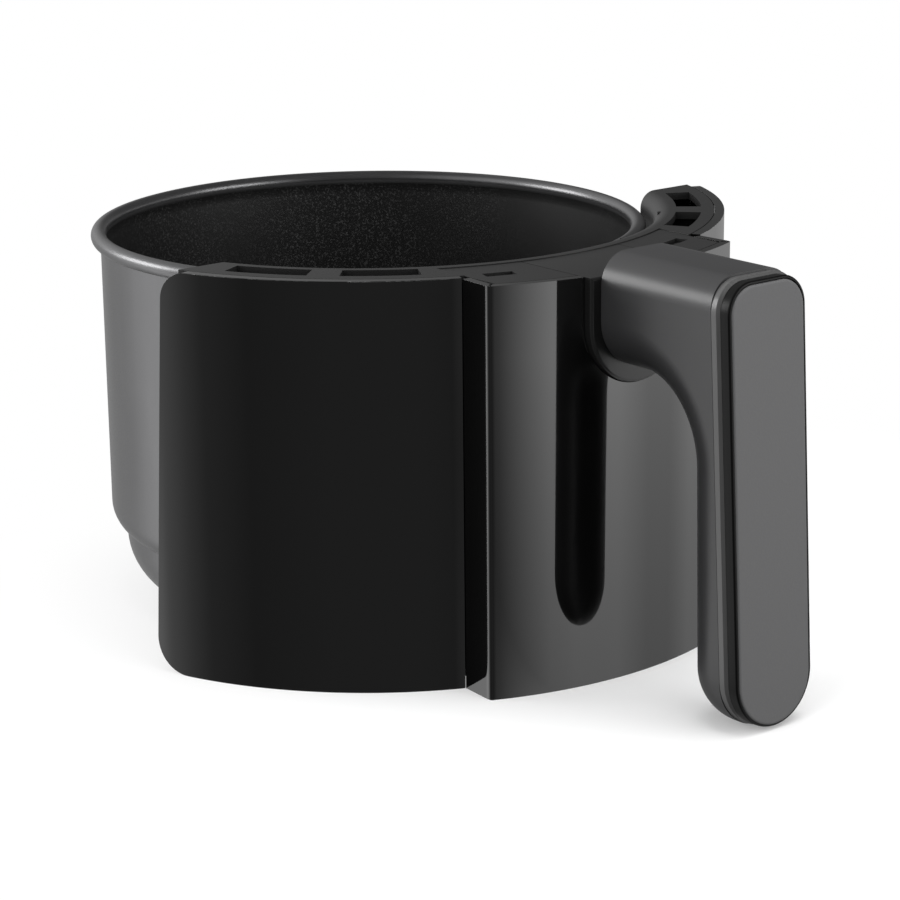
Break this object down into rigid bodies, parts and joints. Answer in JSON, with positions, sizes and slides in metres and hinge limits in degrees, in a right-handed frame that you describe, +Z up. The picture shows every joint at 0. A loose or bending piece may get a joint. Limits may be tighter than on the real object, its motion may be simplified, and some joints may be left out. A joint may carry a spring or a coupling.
{
  "type": "air fryer drawer",
  "caption": "Drawer of a round air fryer: non-stick pan with a lift-out crisper plate, curved gloss front with a raised column, and a bent handle.",
  "frame": {"origin": "on the pan's axis, on the surface that the pan stands on", "axes": "+Z up along the pan's axis; the handle points along -Y; +X is the drawer's right side"},
  "size_m": [0.242, 0.3122, 0.1474],
  "materials": {
    "pan_coating": "dark satin non-stick coating",
    "plate_coating": "black non-stick coating",
    "silicone": "matt black silicone",
    "frame_plastic": "fine-grained black moulding",
    "gloss_black": "polished near-black plastic",
    "collar_plastic": "satin dark grey moulding",
    "grip_plastic": "fine-grained dark grey moulding",
    "satin_trim": "satin dark grey ring",
    "bezel_black": "polished black",
    "pad_plastic": "matt mid-grey pad",
    "bare_steel": "plain steel",
    "screw_steel": "zinc plated"
  },
  "bodies": {
    "drawer": {"pan": "pan_coating", "pan_bracket": "bare_steel", "front_frame": "frame_plastic", "right_wing_cover": "gloss_black", "left_wing_cover": "gloss_black", "column_cover": "gloss_black", "right_column_cap": "frame_plastic", "left_column_cap": "frame_plastic", "handle_collar": "collar_plastic", "handle_body": "grip_plastic", "trim_ring": "satin_trim", "handle_bezel": "bezel_black", "handle_pad": "pad_plastic", "handle_plate": "bare_steel", "frame_screws": "screw_steel", "wing_screws": "screw_steel", "column_screws": "screw_steel", "handle_screws": "screw_steel", "grip_screws": "screw_steel"},
    "crisper": {"crisper_plate": "plate_coating", "crisper_bumpers": "silicone"}
  },
  "joints": [
    {"name": "plate_lift", "type": "slide", "parent": "drawer", "child": "crisper", "axis": [0, 0, 1], "range_m": [0, 0.13]}
  ]
}
